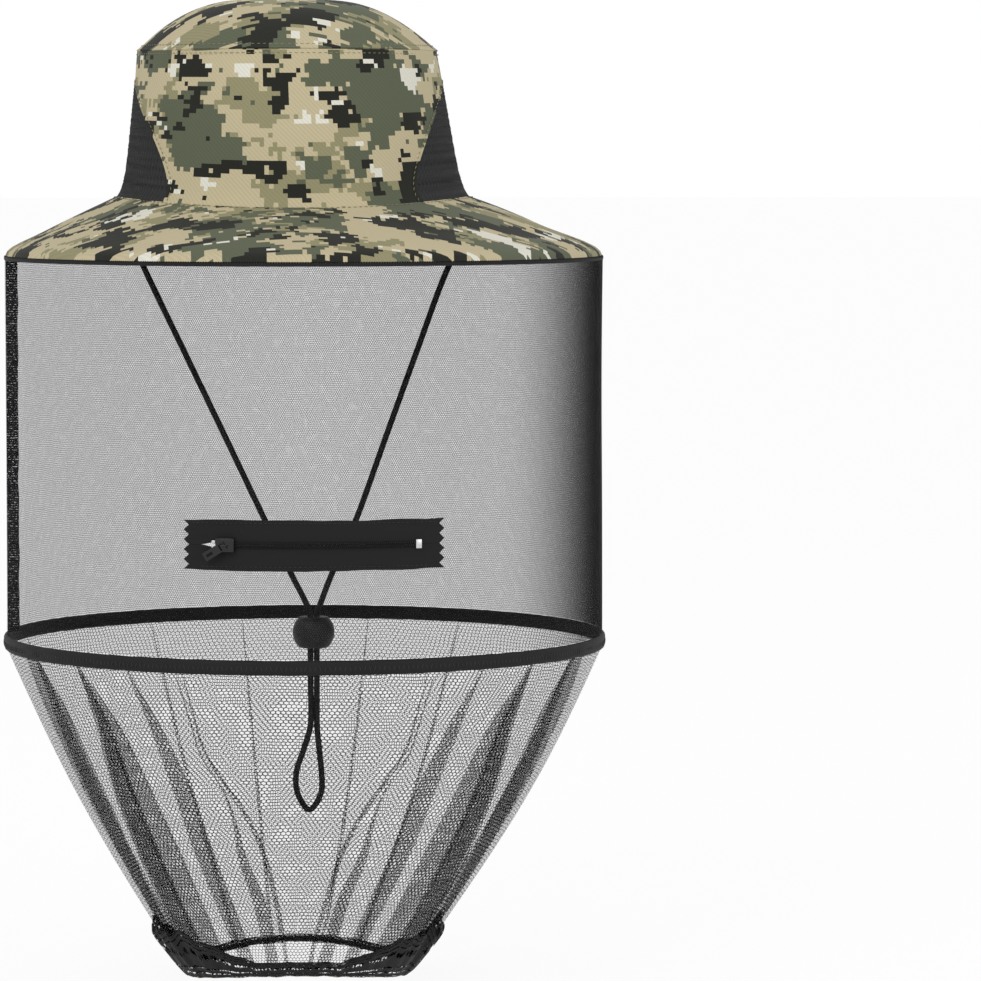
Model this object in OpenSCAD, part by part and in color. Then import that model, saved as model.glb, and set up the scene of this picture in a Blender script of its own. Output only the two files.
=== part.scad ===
// Beekeeping veil: a brimmed hat with a round net wall, a hoop and a gathered neck skirt.
// Origin: centre of the head opening, at the seam between crown and brim. +Z up, front to -Y.

/* [Hat] */
// Outside diameter of the crown at the brim seam
crown_d = 194; // [160:1:240]
// Outside diameter of the crown at the top seam
crown_top_d = 165; // [120:1:190]
// Height of the crown wall
crown_h = 82; // [70:1:120]
// Rise of the top panel above its seam
dome_h = 29; // [8:1:50]
// How far the foot of the crown flares outwards
crown_flare = 3.5; // [0:0.5:8]
// Thickness of the crown cloth with its facing
crown_cloth = 1.6; // [0.8:0.1:3]
// Height of the sweatband
sweatband_h = 32; // [15:1:50]
// Thickness of the sweatband
sweatband_t = 1.8; // [0.8:0.1:4]

/* [Vents] */
// Width of a side vent at the brim seam
vent_foot_w = 134; // [60:1:150]
// Height of a side vent
vent_h = 66; // [30:1:68]
// Roundness of a vent's arch, from a triangle at 1 to an ellipse at 2
vent_round = 1.5; // [1.2:0.1:2]

/* [Brim] */
// Diameter of the brim and of the net wall below it
brim_d = 330; // [290:1:400]
// Drop from the crown seam to the bottom of the brim's edge
brim_drop = 32.6; // [14:0.2:45]
// Thickness of the brim's top cloth
brim_cloth = 0.8; // [0.5:0.1:1.2]
// Thickness of the stiffener inside the brim
interlining_t = 1; // [0.5:0.1:1.6]
// Thickness of the brim's lining
lining_t = 0.6; // [0.4:0.1:1.2]
// Height of the binding round the brim's edge
edge_h = 2.4; // [2:0.1:5]
// Radial width of that binding
edge_w = 3; // [2:0.1:5]

/* [Net] */
// Height of the net wall from the brim's edge to the hoop
wall_h = 205.6; // [150:0.2:260]
// Thickness of the net wall
net_t = 0.4; // [0.3:0.1:1]
// Width of the doubled seam on the left side
seam_w = 6.6; // [3:0.1:10]
// Thickness of that seam
seam_t = 1; // [0.6:0.1:2]
// Height of the neck skirt from the hoop to the hem
skirt_h = 165; // [100:1:220]
// Thickness of the pleated skirt net
skirt_t = 0.8; // [0.6:0.1:2]
// How far the skirt bows out from a straight cone
skirt_bow = 7; // [0:0.5:14]
// Diameter of the hem's middle, as the elastic gathers it
hem_d = 136; // [110:1:170]

/* [Hoop and hem] */
// Diameter of the spring wire in the hoop
wire_d = 2; // [1.5:0.1:2.5]
// Wall of the ferrule that joins the wire's ends
ferrule_t = 0.4; // [0.2:0.1:0.6]
// Length of that ferrule
ferrule_l = 22; // [12:1:40]
// Height of the binding round the hoop
hoop_h = 8; // [6:0.1:12]
// Thickness of that binding
hoop_w = 4; // [4:0.1:7]
// Height of the hem casing
hem_h = 11; // [8:0.5:18]
// Thickness of the hem casing
hem_w = 5; // [4:0.1:8]
// Height of the elastic in the hem
elastic_h = 5; // [3:0.1:6]
// Thickness of the elastic
elastic_t = 1.4; // [0.8:0.1:2]

/* [Mouth zip] */
// Height of the zip's middle above the hoop's middle
zip_above_hoop = 64.6; // [40:0.2:120]
// Height of the whole zip, over both tapes
zip_h = 26; // [22:0.5:40]
// Angle from the front to the zip's left end
zip_left = 22.4; // [20:0.1:40]
// Angle from the front to the zip's right end
zip_right = 26.1; // [24:0.1:40]
// Angle from the front to the closed slider, on the left
slider_left = 14.4; // [6:0.1:15]
// Angle from the front to the bottom stop, on the right
stop_right = 20.9; // [10:0.1:21]
// Thickness of the zip tape
tape_t = 0.8; // [0.5:0.1:1.2]
// Diameter of each coil
coil_d = 1.7; // [1.2:0.1:2]
// Length of the slider
slider_l = 10; // [8:0.1:12]
// Width of the slider
slider_w = 7.2; // [7:0.1:10]
// Length of the slider's pull, from its axis to its tip
pull_l = 12.5; // [10:0.1:30]
// Angle by which the pull hangs below the zip
pull_droop = 32; // [0:1:34]

/* [Chin cord] */
// Diameter of the chin cord
cord_d = 3.3; // [2:0.1:3.4]
// Diameter of the cord lock's ball
lock_d = 23.2; // [21:0.1:30]
// Height of the cord lock between its flat ends
lock_h = 17; // [15:0.5:18]
// Diameter of the lock's plunger
plunger_d = 11.4; // [11:0.1:12]
// How far the plunger can be pressed
press = 3.5; // [2:0.1:4]

/* [Hidden] */
$fn = 96;
SMALL_FN = 32; // facets of small round sections
fit = 0.3; // gap between parts that move past each other
touch = 0.05; // gap between parts sewn or seated on each other
running = 0.08; // radial gap of the plunger in its bore
over = 1; // how far a cutting shape runs past what it cuts

crown_r = crown_d / 2;
crown_top_r = crown_top_d / 2;
flare_h = 7; // height over which the crown's flare dies away

wall_r = brim_d / 2; // outside of the net wall
brim_r = wall_r - 0.5; // the brim cloth stops just inside the net
cloth_drop = brim_drop - edge_h - touch;
lining_depth = brim_cloth + interlining_t + 2 * touch;

wall_top = -brim_drop - touch;
wall_bottom = wall_top - wall_h;
hoop_r = wall_r - 0.4;
hoop_z = wall_bottom - fit - hoop_h / 2;
wire_r = wire_d / 2;
ferrule_r = wire_r + touch + ferrule_t;
wire_end_gap = 1; // gap between the wire's ends, inside the ferrule
skirt_top = hoop_z - hoop_h / 2 - touch;
skirt_bottom = skirt_top - skirt_h;
hem_r = hem_d / 2;
hem_z = skirt_bottom - fit - hem_h / 2;

zip_z = hoop_z + zip_above_hoop;
tape_in = wall_r + fit;
tape_out = tape_in + tape_t;
chain_gap = 1.4; // slit between the coils, which the slider's web runs in
coil_r = coil_d / 2;
coil_mid = tape_out + touch + coil_r;
coil_dz = chain_gap / 2 + coil_r;
stop_w = 3.3; // size of the bottom stop along the chain
stop_h = 4.8; // and across it
top_stop_w = 2; // size of a top stop along the chain
net_lap = 4; // how far each tape laps over the net
slit_end = 2.8; // degrees from the tape's end to the end of the net's slit

plate_t = 1; // thickness of the slider's two plates
lip_t = 0.8; // thickness of the outer plate's lips
plate_out = coil_mid + coil_r + fit; // inside of the outer plate
plate_in = tape_in - fit; // outside of the inner plate
web_l = 3; // length of the web that joins the plates
web_t = chain_gap - 2 * fit;
bail_l = 3.8; // length of the bail's arch along the slider
bail_leg = 0.7; // length of each of its legs
bail_w = 0.9;
bail_h = 2.2;
bail_roof = 0.9; // thickness of the arch over its window
pull_t = 0.8;
pull_gap = 0.2; // gap between the pull and the slider's outer plate
pull_w = 4.8; // width of the pull at its eye
pull_arm = 0.7; // width of the arms beside the eye
pull_eye = 2.9; // distance from the pull's axis to the end of the eye
pull_slot_w = 1.5;
pull_slot_l = 3.6;
pull_slot_end = 1.5; // metal left beyond the slot
pull_axis = plate_out + plate_t + pull_gap + pull_t / 2;

lock_x = 4.7; // the lock hangs a little to the right
lock_z = -239;
strand = 1.75; // half the distance between the two strands in the lock
slot_w = 2 * strand + cord_d + 2 * fit;
slot_d = cord_d + 2 * fit;
lock_r = lock_d / 2;
plunger_r = plunger_d / 2;
plunger_nose = 1.4; // wall of the plunger in front of its slot
plunger_out = 3.6; // how far its end stands out of the ball
nose_y = -slot_d / 2 - plunger_nose;
spring_room = 1.5; // space left for the spring when the plunger is pressed
bore_y = nose_y - press - spring_room;
spring_wire = 0.6;
spring_r = 4.2;
spring_turns = 2.2;
anchor_w = 10; // size of a cord tab along the seam
anchor_t = 2.4;
anchor_h = 12;
anchor_x = crown_r - 0.4 - anchor_t / 2;

// The chin cord's route as [x, z]: left tab, lock, loop, lock, right tab.
CORD_ROUTE = [
    [-95.4, -12.1], [-94.4, -20], [-88.3, -37], [-66.5, -83], [-44.6, -129], [-22, -177],
    [-8, -206], [0.1, -222], [2.85, -230], [2.95, -247], [2.95, -268], [2.95, -290],
    [-0.8, -304], [-5, -317], [-4.4, -329], [2.2, -338.3], [8.6, -329], [8.9, -317],
    [7.6, -304], [6.45, -290], [6.45, -268], [6.45, -247], [6.55, -230], [9, -222],
    [15.2, -206], [28.6, -176], [45.5, -129], [62.2, -83], [79.5, -37], [92, -20],
    [95.4, -12.1]
];
CORD_SIDES = 8;
CORD_STEP = 3 * cord_d; // distance between the tube's rings
SPRING_SIDES = 6;
SPRING_STEPS = 40; // rings along the lock's spring

CAMO = "#b4a983";
BLACK = "#1b1b1c";
NET = "#4a4a4c";
STEEL = "#c4c6c8";

// ---- Helpers ----------------------------------------------------------------------------

UP = [0, 1];
OUT = [1, 0];
IN = [-1, 0];

// The unit vector to the left of an outline [r, z] at point i. The two ends are given.
function chord(line, i) = line[i + 1] - line[i - 1];
function left_of(line, i, first, last) =
    i == 0 ? first
    : i == len(line) - 1 ? last
    : [-chord(line, i).y, chord(line, i).x] / norm(chord(line, i));

// The outline moved to its left by d.
function moved(line, d, first, last) =
    [for (i = [0 : len(line) - 1]) line[i] + d * left_of(line, i, first, last)];

function reversed(line) = [for (i = [len(line) - 1 : -1 : 0]) line[i]];

// The angle that a length takes up on the coils' circle.
function turn(length) = length / coil_mid * 180 / PI;

// A skin turned about Z, between two distances to the left of an outline.
module skin(line, near, far, first, last) {
    rotate_extrude()
        polygon(concat(moved(line, near, first, last), reversed(moved(line, far, first, last))));
}

module ring(inner, outer, low, high) {
    rotate_extrude() translate([inner, low]) square([outer - inner, high - low]);
}

// A piece of such a ring, between two angles off the front. Right is positive.
module band(inner, outer, low, high, from, to) {
    rotate_extrude(angle = to - from, start = from - 90)
        translate([inner, low]) square([outer - inner, high - low]);
}

// An upright section with round ends.
module stadium(w, h) {
    square([w, h - w], center = true);
    for (side = [-1, 1]) translate([0, side * (h - w) / 2]) circle(d = w, $fn = SMALL_FN);
}

// A block on the front of the net wall: x and z, and its distances from the veil's axis.
module front_block(x, z, r) {
    translate([x[0], -r[1], z[0]]) cube([x[1] - x[0], r[1] - r[0], z[1] - z[0]]);
}

// Rings of points joined into a closed tube. Each ring has the same number of points.
module tube(rings) {
    sides = len(rings[0]);
    last = len(rings) - 1;
    polyhedron(
        points = [for (ring = rings) each ring],
        faces = concat(
            [[for (j = [0 : sides - 1]) j]],
            [for (i = [0 : last - 1], j = [0 : sides - 1])
                let (k = (j + 1) % sides)
                [i * sides + j, (i + 1) * sides + j, (i + 1) * sides + k, i * sides + k]],
            [[for (j = [sides - 1 : -1 : 0]) last * sides + j]]
        )
    );
}

// ---- Outlines ---------------------------------------------------------------------------

// Radius of the crown's outside at a height above the brim seam.
function crown_at(z) = let (s = z / crown_h)
    crown_r + (crown_top_r - crown_r) * s - crown_flare * (1 - s) * (1 - exp(-z / flare_h));

CROWN_STEPS = [0, 0.035, 0.085, 0.16, 0.3, 0.55, 1];
crown_line = [for (s = CROWN_STEPS) [crown_at(s * crown_h), s * crown_h]];

BAND_STEPS = [0, 0.09, 0.22, 0.45, 1];
sweatband_line = [for (s = BAND_STEPS) [crown_at(s * sweatband_h), s * sweatband_h]];

// The top panel is flat in the middle and rounds over to its seam.
DOME_STEPS = [1, 0.96, 0.9, 0.82, 0.72, 0.6, 0.45, 0.25, 0];
dome_line = [for (s = DOME_STEPS)
    [crown_top_r * s, crown_h + touch + dome_h * (1 - pow(s, 3))]];

// The brim falls away evenly and turns down at its edge.
BRIM_STEPS = [[0, 0], [0.44, 0.38], [0.86, 0.75], [0.95, 0.85], [0.988, 0.93], [1, 1]];
brim_line = [for (s = BRIM_STEPS)
    [crown_r + touch + (brim_r - crown_r - touch) * s[0], -cloth_drop * s[1]]];

SKIRT_RINGS = 8;
skirt_line = [for (i = [0 : SKIRT_RINGS])
    let (s = i / SKIRT_RINGS)
    [hoop_r + (hem_r + 1 - hoop_r) * s + skirt_bow * sin(180 * s), skirt_top - skirt_h * s]];

// ---- Hat --------------------------------------------------------------------------------

module crown_wall() {
    skin(crown_line, 0, crown_cloth, IN, IN);
}

// A vent's arch seen from the side, run out through that side of the crown.
VENT_STEPS = 16;
module vent_prism(side, grow) {
    foot = vent_foot_w / 2 + grow;
    arch = [for (i = [0 : VENT_STEPS])
        let (a = 180 * i / VENT_STEPS)
        [foot * sign(cos(a)) * pow(abs(cos(a)), 2 / vent_round),
            (vent_h + grow) * pow(sin(a), 2 / vent_round)]];
    rotate([90, 0, side * 90]) linear_extrude(height = crown_r + over)
        polygon(concat([[foot, -over]], arch, [[-foot, -over]]));
}

// The front or the back half of the crown wall, without the vents.
module crown_panel(facing) {
    half = crown_r + over;
    color(CAMO) difference() {
        crown_wall();
        translate([-half, facing > 0 ? touch - 2 * half : -touch, -over])
            cube([2 * half, 2 * half, crown_h + 2 * over]);
        for (side = [-1, 1]) vent_prism(side, touch);
    }
}

module crown_front_panel() {
    crown_panel(-1);
}

module crown_back_panel() {
    crown_panel(1);
}

module vent(side) {
    color(BLACK) intersection() {
        crown_wall();
        vent_prism(side, 0);
    }
}

module vent_left() {
    vent(-1);
}

module vent_right() {
    vent(1);
}

module crown_top() {
    color(CAMO) skin(dome_line, 0, crown_cloth, IN, -UP);
}

module sweatband() {
    inset = crown_cloth + fit;
    color(BLACK) skin(sweatband_line, inset, inset + sweatband_t, IN, IN);
}

// One layer of the brim, at a depth below the top cloth's face.
module brim_layer(depth, thickness) {
    skin(brim_line, -depth, -depth - thickness, UP, OUT);
}

module brim_top() {
    color(CAMO) brim_layer(0, brim_cloth);
}

module brim_interlining() {
    color("white") brim_layer(brim_cloth + touch, interlining_t);
}

module brim_lining() {
    color(BLACK) brim_layer(lining_depth, lining_t);
}

module brim_edge_binding() {
    color(BLACK) ring(wall_r - edge_w, wall_r, -brim_drop, -brim_drop + edge_h);
}

// ---- Chin cord --------------------------------------------------------------------------

module cord_anchor(side) {
    color(BLACK) translate([side * anchor_x, 0, -touch - anchor_h / 2])
        cube([anchor_t, anchor_w, anchor_h], center = true);
}

module cord_anchor_left() {
    cord_anchor(-1);
}

module cord_anchor_right() {
    cord_anchor(1);
}

// A point on the smooth curve through the route, between points i and i + 1.
function route(i) = CORD_ROUTE[max(0, min(i, len(CORD_ROUTE) - 1))];
function curve(i, t) = 0.5 * (
    2 * route(i)
    + (route(i + 1) - route(i - 1)) * t
    + (2 * route(i - 1) - 5 * route(i) + 4 * route(i + 1) - route(i + 2)) * t * t
    + (3 * route(i) - route(i - 1) - 3 * route(i + 1) + route(i + 2)) * t * t * t);
function steps(i) = max(1, round(norm(route(i + 1) - route(i)) / CORD_STEP));
cord_path = concat(
    [for (i = [0 : len(CORD_ROUTE) - 2], k = [0 : steps(i) - 1]) curve(i, k / steps(i))],
    [CORD_ROUTE[len(CORD_ROUTE) - 1]]);

// The cord's two ends are square to the tabs, and its other rings to the path.
function cord_side(i) = left_of(cord_path, i, OUT, IN);
function cord_ring(i) = [for (j = [0 : CORD_SIDES - 1])
    let (a = 360 * j / CORD_SIDES, side = cord_d / 2 * cos(a) * cord_side(i))
    [cord_path[i].x + side.x, cord_d / 2 * sin(a), cord_path[i].y + side.y]];

module chin_cord() {
    color(BLACK) tube([for (i = [0 : len(cord_path) - 1]) cord_ring(i)]);
}

// The slot for both strands, lengthened towards the back by some distance.
module cord_slot(longer) {
    for (side = [-1, 1], back = [0, longer])
        translate([side * (slot_w - slot_d) / 2, back, 0])
            cylinder(d = slot_d, h = lock_d, center = true, $fn = SMALL_FN);
    translate([0, longer / 2, 0]) cube([slot_w, longer, lock_d], center = true);
    translate([0, longer / 2, 0])
        cube([slot_w - slot_d, slot_d + longer, lock_d], center = true);
}

// A cylinder along Y, from one y to another.
module shaft(r, from, to) {
    translate([0, from, 0]) rotate([-90, 0, 0]) cylinder(r = r, h = to - from);
}

module in_lock() {
    translate([lock_x, 0, lock_z]) children();
}

module cord_lock_body() {
    color(BLACK) in_lock() difference() {
        intersection() {
            sphere(r = lock_r);
            cube([lock_d, lock_d, lock_h], center = true);
        }
        shaft(plunger_r + running, bore_y, lock_r + over);
        cord_slot(touch);
    }
}

module cord_lock_plunger() {
    color(BLACK) in_lock() difference() {
        shaft(plunger_r, nose_y, lock_r + plunger_out);
        cord_slot(press);
    }
}

function spring_point(s, a) = let (
    turned = 360 * spring_turns * s,
    length = nose_y - bore_y - spring_wire - 2 * touch,
    r = spring_r + spring_wire / 2 * cos(a))
    [r * cos(turned), bore_y + touch + spring_wire / 2 + length * s
        + spring_wire / 2 * sin(a), r * sin(turned)];

module cord_lock_spring() {
    color(STEEL) in_lock() tube([for (i = [0 : SPRING_STEPS])
        [for (j = [0 : SPRING_SIDES - 1])
            spring_point(i / SPRING_STEPS, 360 * j / SPRING_SIDES)]]);
}

// ---- Net wall, hoop and skirt -----------------------------------------------------------

module veil_wall() {
    color(NET) difference() {
        ring(wall_r - net_t, wall_r, wall_bottom, wall_top);
        band(wall_r - net_t - over, wall_r + over,
            zip_z - zip_h / 2 + net_lap, zip_z + zip_h / 2 - net_lap,
            -zip_left + slit_end, zip_right - slit_end);
    }
}

module veil_side_seam() {
    inner = wall_r - net_t - touch - seam_w;
    color(BLACK) translate([-inner - seam_w, -seam_t / 2, wall_bottom])
        cube([seam_w, seam_t, wall_h]);
}

// The wire is an open ring, and its ends meet in the ferrule at the back.
module hoop_wire() {
    open = wire_end_gap / hoop_r * 180 / PI;
    color(STEEL) rotate_extrude(angle = 360 - open, start = 90 + open / 2)
        translate([hoop_r, hoop_z]) circle(r = wire_r, $fn = SMALL_FN);
}

module hoop_ferrule() {
    span = ferrule_l / hoop_r * 180 / PI;
    color(STEEL) rotate_extrude(angle = span, start = 90 - span / 2)
        translate([hoop_r, hoop_z]) difference() {
            circle(r = ferrule_r, $fn = SMALL_FN);
            circle(r = wire_r + touch, $fn = SMALL_FN);
        }
}

module hoop_binding() {
    color(BLACK) rotate_extrude() translate([hoop_r, hoop_z]) difference() {
        stadium(hoop_w, hoop_h);
        circle(r = ferrule_r + touch, $fn = SMALL_FN);
    }
}

module skirt() {
    color(NET) skin(skirt_line, 0, -skirt_t, OUT, OUT);
}

module hem_casing() {
    color(BLACK) rotate_extrude() translate([hem_r, hem_z]) difference() {
        stadium(hem_w, hem_h);
        square([elastic_t + 2 * touch, elastic_h + 2 * touch], center = true);
    }
}

module hem_elastic() {
    color("white")
        ring(hem_r - elastic_t / 2, hem_r + elastic_t / 2,
            hem_z - elastic_h / 2, hem_z + elastic_h / 2);
}

// ---- Mouth zip --------------------------------------------------------------------------

coils_from = -slider_left - turn(slider_l / 2 + fit);
coils_to = stop_right - turn(stop_w / 2 + touch);

module zip_tape(low, high) {
    color(BLACK) band(tape_in, tape_out, low, high, -zip_left, zip_right);
}

module zip_tape_upper() {
    zip_tape(zip_z + chain_gap / 2, zip_z + zip_h / 2);
}

module zip_tape_lower() {
    zip_tape(zip_z - zip_h / 2, zip_z - chain_gap / 2);
}

module zip_coil(side) {
    color(BLACK) rotate_extrude(angle = coils_to - coils_from, start = coils_from - 90)
        translate([coil_mid, zip_z + side * coil_dz]) circle(r = coil_r, $fn = SMALL_FN);
}

module zip_coil_upper() {
    zip_coil(1);
}

module zip_coil_lower() {
    zip_coil(-1);
}

module zip_bottom_stop() {
    color(STEEL) rotate([0, 0, stop_right])
        front_block([-stop_w / 2, stop_w / 2], [zip_z - stop_h / 2, zip_z + stop_h / 2],
            [tape_out + fit, coil_mid + coil_r]);
}

// One short stop at the left end of each coil.
module zip_top_stops() {
    color(STEEL) rotate([0, 0, coils_from - turn(top_stop_w / 2 + touch)])
        for (side = [-1, 1])
            front_block([-top_stop_w / 2, top_stop_w / 2],
                [zip_z + side * coil_dz - coil_r, zip_z + side * coil_dz + coil_r],
                [tape_out + touch, coil_mid + coil_r]);
}

module at_slider() {
    rotate([0, 0, -slider_left]) children();
}

module slider_body() {
    half_l = slider_l / 2;
    half_w = slider_w / 2;
    color(BLACK) at_slider() {
        front_block([-half_l, half_l], [zip_z - half_w, zip_z + half_w],
            [plate_out, plate_out + plate_t]);
        front_block([-half_l, half_l], [zip_z - half_w, zip_z + half_w],
            [plate_in - plate_t, plate_in]);
        for (side = [-1, 1])
            front_block([-half_l, half_l],
                [zip_z + side * (half_w - lip_t / 2) - lip_t / 2,
                    zip_z + side * (half_w - lip_t / 2) + lip_t / 2],
                [tape_out + fit, plate_out]);
        front_block([-half_l, -half_l + web_l], [zip_z - web_t / 2, zip_z + web_t / 2],
            [plate_in, plate_out]);
        bail();
    }
}

// The arch on the outer plate that holds the pull.
module bail() {
    foot = plate_out + plate_t;
    difference() {
        front_block([-bail_l / 2, bail_l / 2], [zip_z - bail_w / 2, zip_z + bail_w / 2],
            [foot, foot + bail_h]);
        front_block([-bail_l / 2 + bail_leg, bail_l / 2 - bail_leg],
            [zip_z - bail_w, zip_z + bail_w], [foot, foot + bail_h - bail_roof]);
    }
}

// The pull lies along -X from its axis, and its crossbar runs under the bail.
module slider_pull() {
    half_w = pull_w / 2;
    color(BLACK) at_slider() translate([0, -pull_axis, zip_z]) rotate([0, -pull_droop, 0]) {
        cylinder(d = pull_t, h = pull_w, center = true, $fn = SMALL_FN);
        for (side = [-1, 1])
            translate([-pull_eye / 2, 0, side * (half_w - pull_arm / 2)])
                cube([pull_eye, pull_t, pull_arm], center = true);
        difference() {
            translate([-pull_l, -pull_t / 2, -half_w])
                cube([pull_l - pull_eye, pull_t, pull_w]);
            translate([-pull_l + pull_slot_end, -pull_t, -pull_slot_w / 2])
                cube([pull_slot_l, 2 * pull_t, pull_slot_w]);
        }
    }
}

// ---- The whole veil ---------------------------------------------------------------------

crown_top();
crown_front_panel();
crown_back_panel();
vent_left();
vent_right();
sweatband();
brim_top();
brim_interlining();
brim_lining();
brim_edge_binding();
cord_anchor_left();
cord_anchor_right();
chin_cord();
cord_lock_body();
cord_lock_plunger();
cord_lock_spring();
veil_wall();
veil_side_seam();
hoop_wire();
hoop_ferrule();
hoop_binding();
skirt();
hem_casing();
hem_elastic();
zip_tape_upper();
zip_tape_lower();
zip_coil_upper();
zip_coil_lower();
zip_bottom_stop();
zip_top_stops();
slider_body();
slider_pull();
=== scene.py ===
# Beekeeping veil: a camouflage twill sun hat, a net wall on a spring hoop, and a gathered
# net skirt. Metres, +Z up, front to -Y, origin at the centre of the head opening.
from math import acos, asin, atan2, cos, degrees, exp, floor, hypot, pi, radians, sin, sqrt

import bmesh
import bpy
from mathutils import Matrix, Vector, noise


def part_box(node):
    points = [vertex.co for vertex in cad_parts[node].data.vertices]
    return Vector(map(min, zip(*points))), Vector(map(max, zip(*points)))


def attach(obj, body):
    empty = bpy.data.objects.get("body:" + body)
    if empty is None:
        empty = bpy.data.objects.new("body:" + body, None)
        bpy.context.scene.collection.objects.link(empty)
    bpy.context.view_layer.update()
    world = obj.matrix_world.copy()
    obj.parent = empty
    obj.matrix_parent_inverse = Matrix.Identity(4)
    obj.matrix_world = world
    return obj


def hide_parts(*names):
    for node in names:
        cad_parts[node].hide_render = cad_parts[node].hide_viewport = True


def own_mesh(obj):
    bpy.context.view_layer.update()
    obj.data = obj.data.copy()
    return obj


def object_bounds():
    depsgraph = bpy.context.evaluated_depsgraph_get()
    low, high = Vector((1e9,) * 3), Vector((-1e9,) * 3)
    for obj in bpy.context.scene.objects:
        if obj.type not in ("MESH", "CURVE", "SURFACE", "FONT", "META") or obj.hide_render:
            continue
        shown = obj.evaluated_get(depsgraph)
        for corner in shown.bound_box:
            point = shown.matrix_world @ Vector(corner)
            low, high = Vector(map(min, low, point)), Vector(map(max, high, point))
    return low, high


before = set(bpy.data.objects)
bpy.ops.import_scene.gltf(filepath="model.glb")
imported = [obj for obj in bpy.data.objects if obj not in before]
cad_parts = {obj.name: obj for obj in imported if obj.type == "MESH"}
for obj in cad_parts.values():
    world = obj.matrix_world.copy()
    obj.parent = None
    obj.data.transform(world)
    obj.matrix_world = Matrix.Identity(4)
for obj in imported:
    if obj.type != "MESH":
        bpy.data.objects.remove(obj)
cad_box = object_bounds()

MM = 0.001
UP = Vector((0, 0, 1))

# ---- Camera -----------------------------------------------------------------------------

CAMERA_AT = Vector((0, -2.87, 0.0326))
CAMERA_AIM = Vector((0.1029, 0, -0.1606))
camera = bpy.data.objects.new("camera", bpy.data.cameras.new("camera"))
camera.data.lens = 190.5
camera.data.sensor_width = 36
camera.data.clip_end = 100
camera.location = CAMERA_AT
camera.rotation_euler = (CAMERA_AIM - CAMERA_AT).to_track_quat("-Z", "Y").to_euler()
bpy.context.collection.objects.link(camera)
bpy.context.scene.camera = camera

# ---- Sizes, read from the frame ------------------------------------------------------------

CROWN_R = -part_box("crown_front_panel")[0].y
CROWN_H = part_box("crown_front_panel")[1].z
CROWN_TOP_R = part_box("crown_top")[1].x
DOME_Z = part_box("crown_top")[0].z
DOME_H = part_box("crown_top")[1].z - DOME_Z
CROWN_FLARE = 3.5 * MM
FLARE_H = 7 * MM
CROWN_CLOTH = 1.6 * MM
VENT_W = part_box("vent_left")[1].y
VENT_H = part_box("vent_left")[1].z
VENT_ROUND = 1.5

WALL_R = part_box("veil_wall")[1].x
WALL_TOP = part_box("veil_wall")[1].z
WALL_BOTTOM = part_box("veil_wall")[0].z
BRIM_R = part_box("brim_top")[1].x
BRIM_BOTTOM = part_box("brim_top")[0].z
EDGE_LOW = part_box("brim_edge_binding")[0].z
EDGE_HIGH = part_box("brim_edge_binding")[1].z

HOOP_LOW, HOOP_HIGH = (corner.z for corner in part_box("hoop_binding"))
HOOP_Z = (HOOP_LOW + HOOP_HIGH) / 2
HOOP_W = 4 * MM
HOOP_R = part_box("hoop_binding")[1].x - HOOP_W / 2
SKIRT_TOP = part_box("skirt")[1].z
SKIRT_BOW = 7 * MM
HEM_W = 5 * MM
HEM_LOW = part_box("hem_casing")[0].z
HEM_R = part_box("hem_casing")[1].x - HEM_W / 2
HEM_TUCK = 6 * MM  # the elastic draws the hem's bottom edge in by this
HEM_SLOPE = 0.69  # the hem's slant outwards as it rises
SKIRT_LAP = 4 * MM  # the skirt ends this far above the hem's bottom edge
SKIRT_END_R = HEM_R - HEM_TUCK + HEM_SLOPE * SKIRT_LAP
SKIRT_H = SKIRT_TOP - HEM_LOW - SKIRT_LAP
FLOOR_Z = cad_box[0].z

ZIP_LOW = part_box("zip_tape_lower")[0].z
ZIP_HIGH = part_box("zip_tape_upper")[1].z
ZIP_Z = (ZIP_LOW + ZIP_HIGH) / 2
ZIP_LEFT, ZIP_RIGHT = -22.4, 26.1  # degrees off the front
SLIT_LEFT, SLIT_RIGHT = -19.6, 23.3
SLIDER_AT, STOP_AT = -14.4, 20.9
TAPE_R = 165.3 * MM
TAPE_T = 0.8 * MM
COIL_R = 167.0 * MM

# ---- Materials ------------------------------------------------------------------------------


def srgb(code):
    """An sRGB hex colour as linear RGBA."""
    parts = [int(code[i:i + 2], 16) / 255 for i in (1, 3, 5)]
    return [p / 12.92 if p <= 0.04045 else ((p + 0.055) / 1.055) ** 2.4 for p in parts] + [1]


def add(tree, kind, inputs=None, out=0, **settings):
    """Adds a node with its settings, values and links, and returns one of its outputs."""
    made = tree.nodes.new("ShaderNode" + kind)
    for name, value in settings.items():
        setattr(made, name, value)
    for key, value in (inputs or {}).items():
        if isinstance(value, bpy.types.NodeSocket):
            tree.links.new(value, made.inputs[key])
        else:
            made.inputs[key].default_value = value
    return made.outputs[out]


def material(name, code, roughness, **values):
    """A material, its tree and its shader, with the constant values set on the shader."""
    made = bpy.data.materials.new(name)
    made.use_nodes = True
    shader = made.node_tree.nodes["Principled BSDF"]
    shader.inputs["Base Color"].default_value = srgb(code)
    shader.inputs["Roughness"].default_value = roughness
    for key, value in values.items():
        shader.inputs[key.replace("_", " ")].default_value = value
    return made, made.node_tree, shader


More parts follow.
